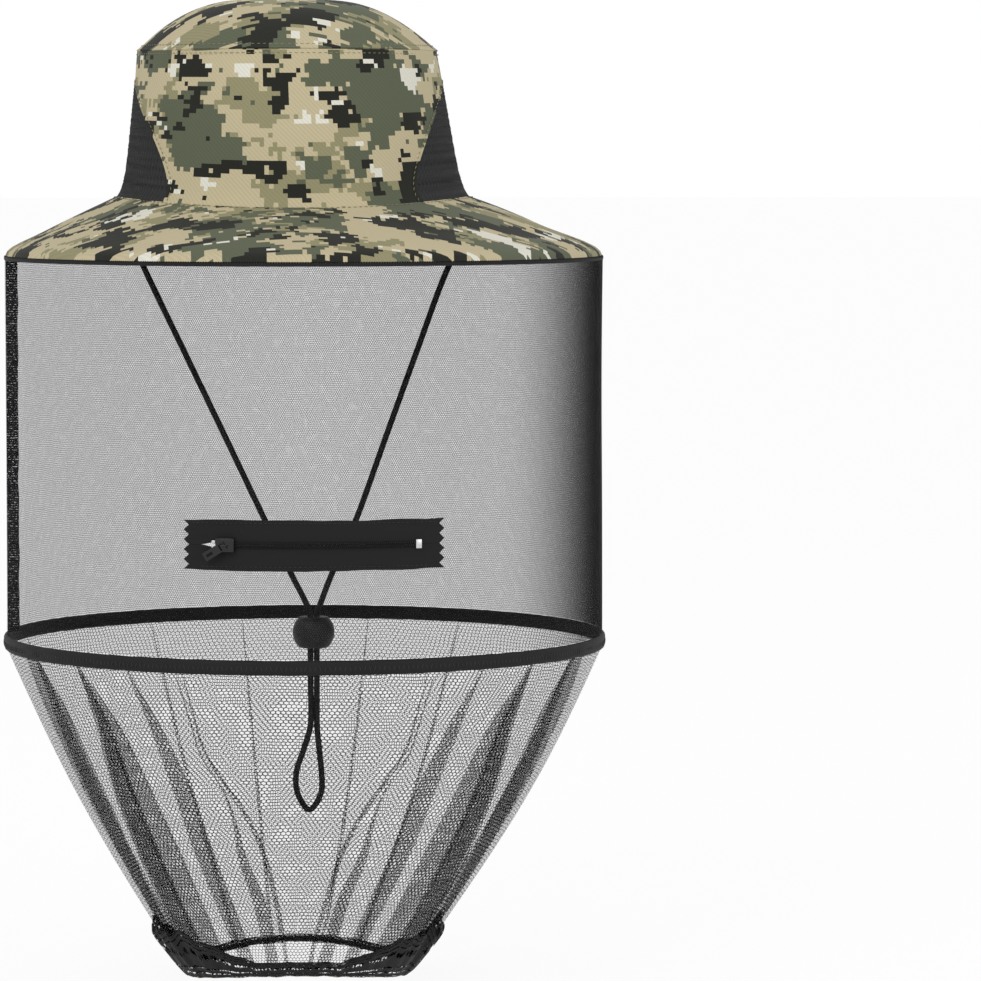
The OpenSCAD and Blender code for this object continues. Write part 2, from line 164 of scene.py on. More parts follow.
def net(name, code, pitch, thread, haze, cover, painted_shade_band=None):
    """Knitted polyester net: dull black threads round six-sided holes, which let light by.
    haze and cover are how much of the light a hole and a thread stop on each face. The last argument
    gives a band of painted shade: where along the cloth the net is painted nearly opaque and dark,
    and how far from there to where it is closed up and to where it is free of it."""
    made, tree, shader = material(name, code, 0.8, Specular_IOR_Level=0.1)
    uv = add(tree, "UVMap")
    stretch = add(tree, "TexNoise", {"Vector": uv, "Scale": 1 / (9 * pitch), "Detail": 2},
                  out=1)
    uneven = add(tree, "VectorMath", {0: stretch, 1: (1.6 * pitch,) * 3, 2: uv},
                 operation="MULTIPLY_ADD")
    place = add(tree, "VectorMath", {0: uneven, 1: (1 / pitch,) * 3}, operation="MULTIPLY")
    half = Vector((0.5, sqrt(3) / 2, 1))
    nearest = []
    for shift in ((0, 0, 0), half):
        cell = add(tree, "VectorMath", {0: place, 1: shift}, operation="ADD")
        cell = add(tree, "VectorMath", {0: cell, 1: half, 2: -half}, operation="WRAP")
        cell = add(tree, "VectorMath", {0: cell}, operation="ABSOLUTE")
        flat = add(tree, "VectorMath", {0: cell, 1: (1, 0, 0)}, out=1, operation="DOT_PRODUCT")
        slant = add(tree, "VectorMath", {0: cell, 1: (0.5, sqrt(3) / 2, 0)}, out=1,
                    operation="DOT_PRODUCT")
        nearest.append(add(tree, "Math", {0: flat, 1: slant}, operation="MAXIMUM"))
    hole = add(tree, "Math", {0: nearest[0], 1: nearest[1]}, operation="MINIMUM")
    edge = 0.5 - thread / pitch / 2
    mask = add(tree, "Math", {0: hole, 1: edge}, operation="GREATER_THAN")
    veil = add(tree, "MapRange", {"Value": mask, "To Min": haze, "To Max": cover})
    if painted_shade_band:
        # Painted shade: towards the band's middle the net is painted nearly opaque and dark.
        middle, closed, free = painted_shade_band
        off = add(tree, "SeparateXYZ", {0: uv})
        off = add(tree, "Math", {0: off, 1: middle}, operation="SUBTRACT")
        off = add(tree, "Math", {0: off}, operation="ABSOLUTE")
        near = add(tree, "MapRange", {"Value": off, "From Min": closed, "From Max": free,
                                      "To Min": 0.97, "To Max": 0})
        near = add(tree, "Math", {0: near, 1: 2.0}, operation="POWER")
        veil = add(tree, "Mix", {0: near, 2: veil, 3: 1.0})
    tree.links.new(veil, shader.inputs["Alpha"])
    return made


TAN, GREEN, OLIVE, INK, BONE = "#c6ba98", "#5f6450", "#96916f", "#20211a", "#e6e4d6"


def camouflage_twill():
    """Printed cotton twill: blocks of five dull colours over a fine diagonal weave."""
    made, tree, shader = material("camouflage_cotton_twill", TAN, 0.85, Specular_IOR_Level=0.25,
                                  Sheen_Weight=0.05)
    uv = add(tree, "UVMap")
    block = 2.4 * MM
    snapped = add(tree, "VectorMath", {0: uv, 1: (block,) * 3}, operation="SNAP")
    # Each printed colour: its seed, patch width in metres, threshold, ragged edge and colour.
    prints = [
        (3.1, 0.040, 0.545, 0.70, OLIVE),
        (11.7, 0.055, 0.540, 0.72, GREEN),
        (23.9, 0.042, 0.548, 0.66, INK),
        (37.3, 0.034, 0.630, 0.66, BONE),
    ]
    colour = add(tree, "RGB")
    colour.default_value = srgb(TAN)
    for seed, width, threshold, ragged, code in prints:
        place = add(tree, "Mapping", {"Vector": snapped, "Location": (seed, seed, seed),
                                      "Scale": (1, 1.7, 1)})
        field = add(tree, "TexNoise", {"Vector": place, "Scale": 1 / width, "Detail": 3,
                                       "Roughness": ragged})
        inside = add(tree, "Math", {0: field, 1: threshold}, operation="GREATER_THAN")
        colour = add(tree, "Mix", {0: inside, 6: colour, 7: srgb(code)}, out=2,
                     data_type="RGBA")
    # The twill line is 0.5 mm in such cloth, drawn at 0.9 mm so that it shows.
    place = add(tree, "VectorMath", {0: uv, 1: (1 / (0.9 * MM),) * 3}, operation="MULTIPLY")
    line = add(tree, "TexWave", {"Vector": place, "Scale": 0.22, "Distortion": 0.6,
                                 "Detail": 1}, bands_direction="DIAGONAL", out=1)
    shade = add(tree, "MapRange", {"Value": line, "To Min": 0.93, "To Max": 1.03})
    colour = add(tree, "VectorMath", {0: colour, "Scale": shade}, operation="SCALE")
    tree.links.new(colour, shader.inputs["Base Color"])
    raised = add(tree, "Bump", {"Height": line, "Distance": 0.08 * MM, "Strength": 0.5})
    tree.links.new(raised, shader.inputs["Normal"])
    return made


def woven(name, code, roughness, pitch, **values):
    """Plain woven or ribbed cloth of one colour, from crossing threads at a pitch."""
    made, tree, shader = material(name, code, roughness, **values)
    spot = add(tree, "TexCoord", out=3)
    place = add(tree, "VectorMath", {0: spot, 1: (1 / pitch,) * 3}, operation="MULTIPLY")
    warp = add(tree, "TexWave", {"Vector": place, "Scale": 0.32}, bands_direction="Z", out=1)
    weft = add(tree, "TexWave", {"Vector": place, "Scale": 0.32}, bands_direction="DIAGONAL",
               out=1)
    height = add(tree, "Math", {0: warp, 1: weft}, operation="MULTIPLY")
    raised = add(tree, "Bump", {"Height": height, "Distance": 0.15 * MM, "Strength": 0.35})
    tree.links.new(raised, shader.inputs["Normal"])
    return made


def moulded(name, code, roughness, grain, depth, **values):
    """Moulded or cast material with a fine even grain."""
    made, tree, shader = material(name, code, roughness, **values)
    spot = add(tree, "TexCoord", out=3)
    field = add(tree, "TexNoise", {"Vector": spot, "Scale": 1 / grain, "Detail": 3})
    raised = add(tree, "Bump", {"Height": field, "Distance": depth, "Strength": 0.3})
    tree.links.new(raised, shader.inputs["Normal"])
    return made


def bunched_net(name, code, pitch, cover):
    """Several layers of net pressed together: dark, with a few light specks between threads."""
    made, tree, shader = material(name, code, 0.75, Specular_IOR_Level=0.3)
    uv = add(tree, "UVMap")
    place = add(tree, "VectorMath", {0: uv, 1: (1 / pitch,) * 3}, operation="MULTIPLY")
    rows = add(tree, "TexWave", {"Vector": place, "Scale": 0.31, "Distortion": 1.5,
                                 "Detail": 1}, bands_direction="Y", out=1)
    specks = add(tree, "TexNoise", {"Vector": place, "Scale": 1.3, "Detail": 1})
    mixed = add(tree, "Math", {0: rows, 1: specks}, operation="MULTIPLY")
    mask = add(tree, "Math", {0: mixed, 1: cover}, operation="LESS_THAN")
    tree.links.new(mask, shader.inputs["Alpha"])
    raised = add(tree, "Bump", {"Height": rows, "Distance": 0.3 * MM, "Strength": 0.6})
    tree.links.new(raised, shader.inputs["Normal"])
    return made


CAMO = camouflage_twill()
# The wall's net is painted nearly closed towards the right-hand side, three quarters of the way
# round: painted shade that darkens the wall towards that side.
FINE_NET = net("fine_polyester_net", "#1e1e20", 1.2 * MM, 0.24 * MM, 0.085, 0.37,
               painted_shade_band=(1.5 * pi * WALL_R, radians(6) * WALL_R, radians(50) * WALL_R))
COARSE_NET = net("coarse_polyester_net", "#222224", 2.3 * MM, 0.29 * MM, 0.03, 0.72)
SEAM_NET = bunched_net("doubled_net_seam", "#1c1c1e", 1.3 * MM, 0.54)
HEM_NET = bunched_net("gathered_net_hem", "#1a1a1c", 1.6 * MM, 0.42)
AIRMESH = woven("knitted_airmesh", "#141517", 0.6, 1.1 * MM, Specular_IOR_Level=0.35)
LINING = woven("black_poplin_lining", "#1a1a1c", 0.85, 0.8 * MM, Specular_IOR_Level=0.25)
BINDING = woven("black_grosgrain_binding", "#141415", 0.75, 0.9 * MM, Specular_IOR_Level=0.3)
TAPE = woven("knitted_zip_tape", "#131314", 0.8, 0.8 * MM, Specular_IOR_Level=0.3)
CORD = woven("braided_polyester_cord", "#161617", 0.7, 1.0 * MM, Specular_IOR_Level=0.35)
ELASTIC = woven("black_knitted_elastic", "#1d1d1f", 0.8, 0.7 * MM)
STIFFENER = woven("white_nonwoven_interlining", "#e4e4e0", 0.9, 1.5 * MM)
THREAD = woven("black_sewing_thread", "#1c1c1e", 0.6, 0.4 * MM)
PALE_THREAD = woven("olive_sewing_thread", "#8b8768", 0.7, 0.4 * MM)
LOCK = moulded("moulded_black_acetal", "#1b1b1d", 0.5, 0.6 * MM, 0.02 * MM)
TEETH = moulded("black_nylon_coil", "#121213", 0.45, 0.5 * MM, 0.02 * MM,
                Specular_IOR_Level=0.3)
ENAMEL = moulded("gloss_black_enamel_on_zinc", "#0a0a0b", 0.22, 0.8 * MM, 0.01 * MM,
                 Specular_IOR_Level=0.45)
ALUMINIUM = moulded("bare_aluminium", "#c9cbcd", 0.28, 0.4 * MM, 0.02 * MM, Metallic=1.0)
STEEL = moulded("drawn_spring_steel", "#b4b6b9", 0.3, 0.5 * MM, 0.02 * MM, Metallic=1.0)

# ---- Making pieces --------------------------------------------------------------------------


def piece(bm, name, body, look, nodes=(), shell=0.0, sharp=40):
    """Turns a mesh into a finished piece on its body, which stands for its CAD nodes."""
    mesh = bpy.data.meshes.new(name)
    bm.to_mesh(mesh)
    bm.free()
    made = bpy.data.objects.new(name, mesh)
    bpy.context.collection.objects.link(made)
    mesh.materials.append(look)
    if shell:
        solid = made.modifiers.new("thickness", "SOLIDIFY")
        solid.thickness = shell
        solid.offset = -1
        seen = bpy.context.evaluated_depsgraph_get()
        made.data = bpy.data.meshes.new_from_object(made.evaluated_get(seen))
        made.modifiers.clear()
        bpy.data.meshes.remove(mesh)
        made.data.name = name
    made.data.shade_smooth()
    made.data.set_sharp_from_angle(angle=radians(sharp))
    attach(made, body)
    if nodes:
        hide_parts(*nodes)
    return made


def sheet(columns, rows, place, spread, closed=False):
    """A grid bent to place(u, v), with spread(u, v) as its cut size in metres."""
    bm = bmesh.new()
    bmesh.ops.create_grid(bm, x_segments=columns, y_segments=rows, size=0.5)
    uv = bm.loops.layers.uv.new("UVMap")
    for face in bm.faces:
        for loop in face.loops:
            loop[uv].uv = spread(loop.vert.co.x + 0.5, loop.vert.co.y + 0.5)
    for vert in bm.verts:
        vert.co = place(vert.co.x + 0.5, vert.co.y + 0.5)
    if closed:
        bmesh.ops.remove_doubles(bm, verts=bm.verts, dist=0.001 * MM)
    return bm


def softened(node, name, body, look, edge=0.0, sharp=35):
    """A copy of a CAD node with its sharp edges rounded, which stands for it."""
    bm = bmesh.new()
    bm.from_mesh(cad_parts[node].data)
    bmesh.ops.remove_doubles(bm, verts=bm.verts, dist=0.002 * MM)
    if edge:
        bmesh.ops.dissolve_limit(bm, angle_limit=radians(1), verts=bm.verts, edges=bm.edges)
        hard = [e for e in bm.edges if len(e.link_faces) == 2
                and e.calc_face_angle(0) > radians(sharp)]
        bmesh.ops.bevel(bm, geom=hard, offset=edge, segments=2, profile=0.5, affect="EDGES",
                        clamp_overlap=True, material=-1)
    return piece(bm, name, body, look, [node], sharp=sharp)


def threads(name, places, size, body, look):
    """Short raised threads or teeth. places has each one's middle, direction and outside."""
    bm = bmesh.new()
    for middle, along, out in places:
        across = out.cross(along).normalized()
        turn = Matrix((along, across, out)).transposed().to_4x4()
        bmesh.ops.create_uvsphere(
            bm, u_segments=6, v_segments=4, radius=0.5,
            matrix=Matrix.Translation(middle) @ turn @ Matrix.Diagonal((*size, 1)))
    return piece(bm, name, body, look, sharp=80)


def along_line(points, pitch, outside):
    """Places for threads along a line of points, a pitch apart."""
    places, left = [], pitch / 2
    for start, end in zip(points, points[1:]):
        step = end - start
        while left < step.length:
            middle = start + step.normalized() * left
            out = outside(middle)
            along = (step - out * step.dot(out)).normalized()
            places.append((middle, along, out))
            left += pitch
        left -= step.length
    return places


def round_about(radius, angle, z):
    """A point on a ring, by its angle off the front in degrees. Right is positive."""
    a = radians(angle - 90)
    return Vector((radius * cos(a), radius * sin(a), z))


def outwards(point):
    return Vector((point.x, point.y, 0)).normalized()


def wander(point, size, seed=0.0):
    """A smooth number from -1 to 1 that wanders over a distance."""
    return noise.noise(Vector(point) / size + Vector((seed, -seed, seed * 0.5)))


def band(section, columns, shape, uv_pitch=1.0):
    """A closed section of [radius, z] points turned about Z, each point moved by shape."""
    count = len(section)

    def at(u, v):
        radius, z = section[round(v * count) % count]
        return shape(radius, 360 * u - 180, z)

    return sheet(columns, count, at,
                 lambda u, v: (u * 2 * pi * section[0][0], v * count * uv_pitch), closed=True)


def stadium(width, height, z, radius, steps=5):
    """An upright section with round ends, as [radius, z] points."""
    section = []
    for side in (1, -1):
        for i in range(steps + 1):
            a = pi * i / steps + (0 if side > 0 else pi)
            section.append((radius + width / 2 * cos(a),
                            z + side * (height - width) / 2 + width / 2 * sin(a)))
    return section


# ---- Chin cord ----------------------------------------------------------------------------------

CORD_D = 3.3 * MM
# The cord's route as x and z in millimetres: left tab, lock, loop, lock, right tab.
CORD_ROUTE = [
    (-95.4, -12.1), (-94.4, -20), (-88.3, -37), (-66.5, -83), (-44.6, -129), (-22, -177),
    (-8, -206), (0.1, -222), (2.85, -230), (2.95, -247), (2.95, -268), (2.95, -290),
    (-0.8, -304), (-5, -317), (-4.4, -329), (2.2, -338.3), (8.6, -329), (8.9, -317),
    (7.6, -304), (6.45, -290), (6.45, -268), (6.45, -247), (6.55, -230), (9, -222),
    (15.2, -206), (28.6, -176), (45.5, -129), (62.2, -83), (79.5, -37), (92, -20),
    (95.4, -12.1),
]


def smooth_route(route, steps):
    """Points on the smooth curve through a route, in metres."""
    points = [Vector((x * MM, 0, z * MM)) for x, z in route]
    ends = [points[0], *points, points[-1]]
    line = []
    for a, b, c, d in zip(ends, ends[1:], ends[2:], ends[3:]):
        for i in range(steps):
            t = i / steps
            line.append(0.5 * (2 * b + (c - a) * t + (2 * a - 5 * b + 4 * c - d) * t ** 2
                               + (3 * b - a - 3 * c + d) * t ** 3))
    return line + [points[-1]]


def chin_cord():
    curve = bpy.data.curves.new("chin_cord_braid", "CURVE")
    curve.dimensions = "3D"
    curve.bevel_depth = CORD_D / 2
    curve.bevel_resolution = 4
    curve.use_fill_caps = True
    line = smooth_route(CORD_ROUTE, 6)
    spline = curve.splines.new("POLY")
    spline.points.add(len(line) - 1)
    for point, co in zip(spline.points, line):
        point.co = (*co, 1)
    made = bpy.data.objects.new("chin_cord_braid", curve)
    bpy.context.collection.objects.link(made)
    curve.materials.append(CORD)
    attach(made, "hat")
    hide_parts("chin_cord")
    return made, line


cord, cord_line = chin_cord()
CORD_LENGTH = sum((b - a).length for a, b in zip(cord_line, cord_line[1:]))

lock_body = softened("cord_lock_body", "cord_lock_ball", "cord_lock", LOCK,
                     edge=0.5 * MM)
lock_plunger = softened("cord_lock_plunger", "cord_lock_button", "lock_plunger",
                        LOCK, edge=0.4 * MM)
lock_spring = softened("cord_lock_spring", "cord_lock_coil", "cord_lock",
                       STEEL)
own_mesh(lock_spring)
tuple(cord_line[0])

TAB_TOP = -4.5 * MM  # below the brim's layers
for side, node in ((-1, "cord_anchor_left"), (1, "cord_anchor_right")):
    low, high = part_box(node)
    bm = bmesh.new()
    size = (high.x - low.x, high.y - low.y, TAB_TOP - low.z)
    middle = ((low.x + high.x) / 2, 0, (TAB_TOP + low.z) / 2)
    bmesh.ops.create_cube(bm, size=1, matrix=Matrix.Translation(middle)
                          @ Matrix.Diagonal((*size, 1)))
    bmesh.ops.bevel(bm, geom=bm.edges[:], offset=0.6 * MM, segments=3, profile=0.5,
                    affect="EDGES", material=-1)
    piece(bm, "cord_tab_left" if side < 0 else "cord_tab_right", "hat",
          BINDING, [node])

# ---- Hat --------------------------------------------------------------------------------------

LEAN_FOOT = 6 * MM  # the crown sits a little to the left of the hoop's middle
LEAN_TOP = 10 * MM
SEAM_RISE = 2.6 * MM  # its foot rises at the sides and dips at the front and back


def worn(point):
    """A point of the hat as it sits: the crown leans left and its foot is saddle-shaped."""
    out = min(1, max(0, (hypot(point.x, point.y) - CROWN_R) / (BRIM_R - CROWN_R)))
    up = min(1, max(0, point.z / (DOME_Z + DOME_H)))
    hold = (1 - out) ** 1.5
    rise = SEAM_RISE * cos(2 * atan2(point.y, point.x)) * hold * max(0, 1 - point.z / CROWN_H)
    return Vector((point.x - hold * (LEAN_FOOT + (LEAN_TOP - LEAN_FOOT) * up),
                   point.y, point.z + rise))


def crown_at(z):
    """Radius of the crown's outside at a height."""
    s = z / CROWN_H
    return (CROWN_R + (CROWN_TOP_R - CROWN_R) * s
            - CROWN_FLARE * (1 - s) * (1 - exp(-max(z, 0) / FLARE_H)))


def vent_half(z):
    """Half the width of a vent's arch at a height."""
    if z >= VENT_H:
        return 0.0
    return VENT_W * (1 - (z / VENT_H) ** VENT_ROUND) ** (1 / VENT_ROUND)


def crown_row(v):
    """Heights for the crown's rows, close together near the top of the vents."""
    share = 0.8
    if v <= share:
        return VENT_H * sin(v / share * pi / 2)
    return VENT_H + (CROWN_H - VENT_H) * (v - share) / (1 - share)


EDGE_FOLD = 2.2 * MM  # width of the panel's turned edge beside a vent


def crown_panel(facing):
    """The front or back panel of the crown wall, between the two vents."""
    def angle(u, z):
        return (2 * u - 1) * degrees(acos(vent_half(z) / crown_at(z)))

    def at(u, v):
        z = crown_row(v)
        a = angle(u, z)
        radius = crown_at(z)
        spare = (degrees(acos(vent_half(z) / radius)) - abs(a)) * pi / 180 * radius
        point = round_about(radius, a if facing < 0 else a + 180, z)
        puff = 0.5 * MM * (spare < EDGE_FOLD) * (z < VENT_H)
        puff += 0.9 * MM * wander(point, 34 * MM, 4) * min(1, z / (12 * MM))
        return worn(point + outwards(point) * puff)

    bm = sheet(150, 60, at, lambda u, v: (radians(angle(u, crown_row(v))) * 0.09,
                                          crown_row(v)))
    name = "crown_front_cloth" if facing < 0 else "crown_back_cloth"
    node = "crown_front_panel" if facing < 0 else "crown_back_panel"
    return piece(bm, name, "hat", CAMO, [node], shell=CROWN_CLOTH)


for facing in (-1, 1):
    crown_panel(facing)

RIB_PITCH = 2.5 * MM


def vent(side):
    """A side vent of thick knitted mesh, with wavy upright ribs."""
    def at(u, v):
        z = VENT_H * sin(v * pi / 2) * 0.995
        y = (2 * u - 1) * (vent_half(z) + 1 * MM)
        radius = crown_at(z) - 0.5 * MM
        rib = sin(2 * pi * (y + 0.5 * MM * sin(2 * pi * z / (5 * MM))) / RIB_PITCH)
        knots = 0.25 * MM * sin(2 * pi * z / (2 * MM))
        lift = 0.45 * MM * rib * (1 + knots / MM)
        a = asin(max(-1, min(1, y / radius)))
        reach = radius + lift
        return worn(Vector((side * reach * cos(a), side * reach * sin(a), z)))

    bm = sheet(260, 60, at, lambda u, v: (u * 2 * VENT_W, v * VENT_H))
    name = "vent_mesh_left" if side < 0 else "vent_mesh_right"
    node = "vent_left" if side < 0 else "vent_right"
    return piece(bm, name, "hat", AIRMESH, [node], shell=1.0 * MM)


for side in (-1, 1):
    vent(side)


def dome_at(radius):
    s = min(1, radius / CROWN_TOP_R)
    return DOME_Z + DOME_H * (1 - s ** 3)


def crown_top():
    """The domed top panel, a little proud of its seam."""
    bm = bmesh.new()
    bmesh.ops.create_circle(bm, cap_ends=True, segments=128, radius=CROWN_TOP_R + 0.4 * MM)
    for _ in range(26):
        disc = max(bm.faces, key=lambda f: f.calc_area() if len(f.verts) > 4 else 0)
        bmesh.ops.inset_individual(bm, faces=[disc], thickness=3.1 * MM, depth=0)
    disc = max(bm.faces, key=lambda f: len(f.verts))
    bmesh.ops.poke(bm, faces=[disc])
    uv = bm.loops.layers.uv.new("UVMap")
    for face in bm.faces:
        for loop in face.loops:
            loop[uv].uv = loop.vert.co.xy
    for vert in bm.verts:
        radius = vert.co.xy.length
        puff = 0.9 * MM * wander(vert.co, 38 * MM, 9)
        edge = 0.5 * MM * exp(-((CROWN_TOP_R - radius) / (2.5 * MM)) ** 2)
        vert.co.z = dome_at(radius) + puff + edge
        vert.co = worn(vert.co)
    return piece(bm, "crown_top_cloth", "hat", CAMO, ["crown_top"],
                 shell=CROWN_CLOTH)


crown_top()

BRIM_STEPS = [(0, 0), (0.44, 0.38), (0.86, 0.75), (0.95, 0.85), (0.988, 0.93), (1, 1)]


def brim_at(out):
    """The share of the brim's drop at a share of its width, from 0 to 1."""
    for (x0, z0), (x1, z1) in zip(BRIM_STEPS, BRIM_STEPS[1:]):
        if out <= x1:
            return z0 + (z1 - z0) * (out - x0) / (x1 - x0)
    return 1.0


def brim_point(out, angle, depth=0.0):
    """A point on the brim's top face, or a depth below it."""
    radius = CROWN_R + (BRIM_R - CROWN_R) * out
    z = BRIM_BOTTOM * brim_at(out) - depth
    point = round_about(radius - depth * out ** 8, angle, z)
    point.z += 1.1 * MM * wander(point, 30 * MM, 7) * sin(pi * out)
    return worn(point)


BRIM_CUT = Vector((0.62, 0.37))  # where in the printed cloth the brim is cut


def brim_layer(name, node, depth, thickness, look):
    """One layer of the brim, at a depth below its top face."""
    bm = sheet(288, 36, lambda u, v: brim_point(1 - v ** 1.15, 360 * u, depth),
               lambda u, v: tuple(round_about(
                   CROWN_R + (BRIM_R - CROWN_R) * (1 - v ** 1.15) * 1.07, 360 * u, 0).xy
                   + BRIM_CUT),
               closed=True)
    return piece(bm, name, "hat", look, [node], shell=thickness)


brim_layer("brim_cloth", "brim_top", 0, 0.8 * MM, CAMO)
brim_layer("brim_stiffener", "brim_interlining", 0.85 * MM, 1 * MM, STIFFENER)
brim_layer("brim_under_cloth", "brim_lining", 1.9 * MM, 0.6 * MM, LINING)

BITE_PITCH = 1.4 * MM
BITES = round(2 * pi * WALL_R / BITE_PITCH)
BITE_DEPTH = 0.9 * MM


def edge_binding():
    """The overlocked edge below the brim, its threads biting up into the cloth."""
    inner, mid = WALL_R - 3 * MM, (EDGE_LOW + EDGE_HIGH) / 2
    section = [(WALL_R, EDGE_LOW + 0.3 * MM), (WALL_R + 0.15 * MM, mid),
               (WALL_R, EDGE_HIGH), (WALL_R - 0.6 * MM, EDGE_HIGH + 0.3 * MM),
               (inner, EDGE_HIGH - 0.4 * MM), (inner, EDGE_LOW + 0.2 * MM),
               (WALL_R - 0.8 * MM, EDGE_LOW)]

    def shape(radius, angle, z):
        step = round((angle + 180) / 360 * BITES * 2)
        if z >= EDGE_HIGH - 0.1 * MM and radius > inner and step % 2:
            z -= BITE_DEPTH
        return round_about(radius, angle, z)

    return piece(band(section, BITES * 2, shape), "brim_edge_overlock", "hat",
                 BINDING, ["brim_edge_binding"])


edge_binding()

# The sweatband's section, as a height and a distance inside the crown's outside.
BAND_SECTION = [(0.5, 2.0), (12, 1.9), (31, 1.9), (32, 2.3), (31.6, 3.5), (12, 3.6),
                (0.5, 3.7)]


def sweatband():
    """The band round the head, with a light padding between its stitched edges."""
    section = [(crown_at(z * MM) - d * MM, z * MM) for z, d in BAND_SECTION]
    return piece(band(section, 180, lambda r, a, z: worn(round_about(r, a, z))),
                 "sweatband_cloth", "hat", LINING, ["sweatband"])


sweatband()


def hat_stitches():
    """Rows of stitches at the crown's foot, the top seam and the vents' edges."""
    turns = [i * 2 for i in range(181)]
    foot = [worn(round_about(CROWN_R + 1.8 * MM, a, -0.4 * MM)) for a in turns]
    top = [worn(round_about(CROWN_TOP_R - 2.4 * MM, a, dome_at(CROWN_TOP_R - 2.4 * MM)
                            + 0.35 * MM)) for a in turns]
    low = [worn(round_about(crown_at(CROWN_H - 2 * MM) + 0.25 * MM, a, CROWN_H - 2 * MM))
           for a in turns]
    rows = along_line(foot, 3.2 * MM, lambda p: UP)
    rows += along_line(top, 3.2 * MM, lambda p: (outwards(p) + UP).normalized())
    rows += along_line(low, 3.2 * MM, outwards)
    for facing in (-1, 1):
        for side in (-1, 1):
            line = []
            for i in range(40):
                z = crown_row(i / 39 * 0.8) * 0.97
                radius = crown_at(z)
                inset = EDGE_FOLD + 0.6 * MM
                a = degrees(acos(vent_half(z) / radius) - inset / radius) * side
                point = round_about(radius + 0.45 * MM, a if facing < 0 else 180 - a, z)
                line.append(worn(point))
            rows += along_line(line, 3.2 * MM, outwards)
    return threads("hat_topstitching", rows, (2.3 * MM, 0.45 * MM, 0.4 * MM), "hat",
                   PALE_THREAD)


hat_stitches()

# ---- Net wall ---------------------------------------------------------------------------------

WALL_ROWS = [WALL_BOTTOM, ZIP_LOW + 4 * MM, ZIP_HIGH - 4 * MM, WALL_TOP]
ROWS_BETWEEN = [8, 2, 16]
SLIT_DIP = 2.2 * MM  # the net lies this far back beside its slit, clear of the slider


def wall_heights():
    heights = []
    for low, high, count in zip(WALL_ROWS, WALL_ROWS[1:], ROWS_BETWEEN):
        heights += [low + (high - low) * i / count for i in range(count)]
    return heights + [WALL_TOP]


def net_wall():
    """The net wall, with a slit behind the zip and slight ripples between brim and hoop."""
    heights = wall_heights()
    last = len(heights) - 1

    def at(u, v):
        z = heights[round(v * last)]
        hang = sin(pi * (z - WALL_BOTTOM) / (WALL_TOP - WALL_BOTTOM))
        angle = 360 * u - 180
        beside = min(1, max(0, SLIT_RIGHT + 3 - angle) / 3,
                     max(0, angle - SLIT_LEFT + 3) / 3)
        behind = SLIT_DIP * beside * min(1, max(0, 2.5 - abs(z - ZIP_Z) / (6 * MM)))
        point = round_about(WALL_R - 0.2 * MM - behind, angle, z)
        ripple = wander((point.x, point.y, point.z * 0.25), 45 * MM, 2)
        return point + outwards(point) * (0.9 * MM * hang * (ripple - 0.4))

    bm = sheet(360, last, at,
               lambda u, v: (u * 2 * pi * WALL_R, heights[round(v * last)] - WALL_BOTTOM),
               closed=True)
    gone = []
    for face in bm.faces:
        middle = face.calc_center_median()
        angle = degrees(atan2(middle.x, -middle.y))
        if (SLIT_LEFT < angle < SLIT_RIGHT
                and ZIP_LOW + 4 * MM < middle.z < ZIP_HIGH - 4 * MM):
            gone.append(face)
    bmesh.ops.delete(bm, geom=gone, context="FACES")
    made = piece(bm, "net_wall", "hat", FINE_NET, ["veil_wall"], shell=0.35 * MM)
    return made


wall = net_wall()
WALL_HEIGHT = WALL_TOP - WALL_BOTTOM


def net_seam():
    """The doubled seam up the left side of the net wall, turned inwards."""
    inner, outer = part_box("veil_side_seam")[0].x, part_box("veil_side_seam")[1].x

    def at(u, v):
        z = WALL_BOTTOM + WALL_HEIGHT * v
        sway = 0.5 * MM * wander((0, 0, z), 14 * MM, 5)
        return Vector((outer + (inner - outer) * u + sway * (1 - u), 0.4 * MM + sway, z))

    bm = sheet(6, 120, at, lambda u, v: (u * 7 * MM, WALL_HEIGHT * v))
    return piece(bm, "net_wall_seam", "hat", SEAM_NET, ["veil_side_seam"],
                 shell=0.8 * MM)


seam = net_seam()
for soft in (wall, seam):
    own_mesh(soft)

# ---- Hoop -----------------------------------------------------------------------------------------


def hoop_band():
    """The binding sewn round the spring hoop, soft and a little uneven."""
    def shape(radius, angle, z):
        point = round_about(radius, angle, z)
        uneven = 0.25 * MM * wander(point, 9 * MM, 3)
        return point + outwards(point) * uneven + UP * (0.2 * MM * wander(point, 6 * MM, 8))

    section = stadium(HOOP_W * 0.9, HOOP_HIGH - HOOP_LOW, HOOP_Z, HOOP_R)
    return piece(band(section, 480, shape), "hoop_band", "hoop", BINDING,
                 ["hoop_binding"])


hoop_band()
STITCH_PITCH = 2.6 * MM
hoop_rungs = []
for i in range(round(2 * pi * HOOP_R / STITCH_PITCH)):
    angle = 360 * i * STITCH_PITCH / (2 * pi * HOOP_R)
    spot = round_about(HOOP_R + HOOP_W * 0.45, angle, HOOP_Z - 0.4 * MM)
    side = outwards(spot).cross(UP)
    hoop_rungs.append((spot, (UP + side * (0.35 if i % 2 else -0.35)).normalized(),
                       outwards(spot)))
threads("hoop_stitching", hoop_rungs, (3.4 * MM, 0.5 * MM, 0.5 * MM), "hoop",
        THREAD)

# ---- Skirt ----------------------------------------------------------------------------------------

SKIRT_ROWS = 54
SKIRT_FLAT_W = round(2 * pi * HOOP_R, 3)
LAYER_GAP = 0.9 * MM
HEM_DRIFT = 4.5 * MM  # the hem hangs a little to the left
HEM_DROOP = 3.6 * MM  # its sides hang lower than its front and back
HEM_HANG = 2.5 * MM  # and all of it a little below the casing's place
